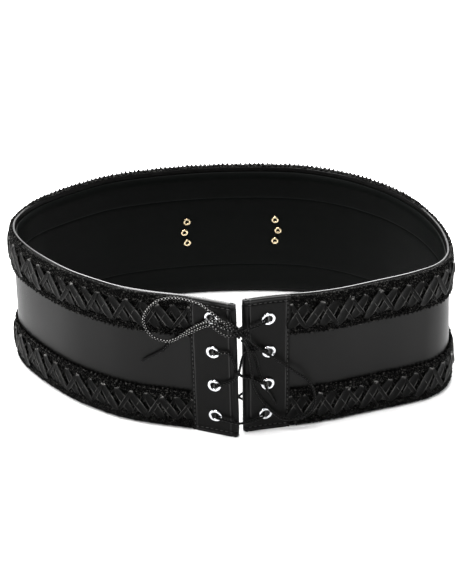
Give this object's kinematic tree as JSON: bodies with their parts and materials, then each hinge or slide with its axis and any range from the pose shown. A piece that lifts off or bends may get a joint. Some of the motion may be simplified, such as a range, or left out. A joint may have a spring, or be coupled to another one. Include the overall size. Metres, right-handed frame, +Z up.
{
  "type": "belt",
  "caption": "Wide black lace-up waist belt standing as an open loop, with crossed-ribbon trims on both edges, metal eyelets and a cord tied in a bow.",
  "frame": {"origin": "on the surface the belt stands on, under the middle of its loop", "axes": "+X along the loop's longer width, to the right for a viewer who looks at the laced front, -Y out of the laced front, +Z up the belt's wall"},
  "size_m": [0.302, 0.1799, 0.1069],
  "materials": {
    "band_leather": "smooth black faux leather, soft satin sheen",
    "lining_satin": "dark satin lining",
    "trim_chenille": "black chenille braid",
    "ribbon_leather": "black coated ribbon, semi-gloss",
    "panel_leather": "smooth black faux leather",
    "eyelet_chrome": "bright chrome plate",
    "rivet_brass": "pale polished brass",
    "lace_braid": "round black waxed braid",
    "aglet_plastic": "smooth black shrink tube"
  },
  "bodies": {
    "root": {"band": "band_leather", "lining": "lining_satin", "trim_top": "trim_chenille", "trim_bottom": "trim_chenille", "ribbon_top_under": "ribbon_leather", "ribbon_top_over": "ribbon_leather", "ribbon_bottom_under": "ribbon_leather", "ribbon_bottom_over": "ribbon_leather", "panel_left": "panel_leather", "panel_right": "panel_leather", "eyelet_left_1": "eyelet_chrome", "eyelet_left_2": "eyelet_chrome", "eyelet_left_3": "eyelet_chrome", "eyelet_left_4": "eyelet_chrome", "eyelet_right_1": "eyelet_chrome", "eyelet_right_2": "eyelet_chrome", "eyelet_right_3": "eyelet_chrome", "eyelet_right_4": "eyelet_chrome", "rivet_left_1": "rivet_brass", "rivet_left_2": "rivet_brass", "rivet_left_3": "rivet_brass", "rivet_right_1": "rivet_brass", "rivet_right_2": "rivet_brass", "rivet_right_3": "rivet_brass", "lace": "lace_braid", "bow_knot": "lace_braid", "bow_loop_left": "lace_braid", "bow_loop_right": "lace_braid", "lace_tail_left": "lace_braid", "lace_tail_right": "lace_braid", "aglet_left": "aglet_plastic", "aglet_right": "aglet_plastic"}
  },
  "joints": []
}
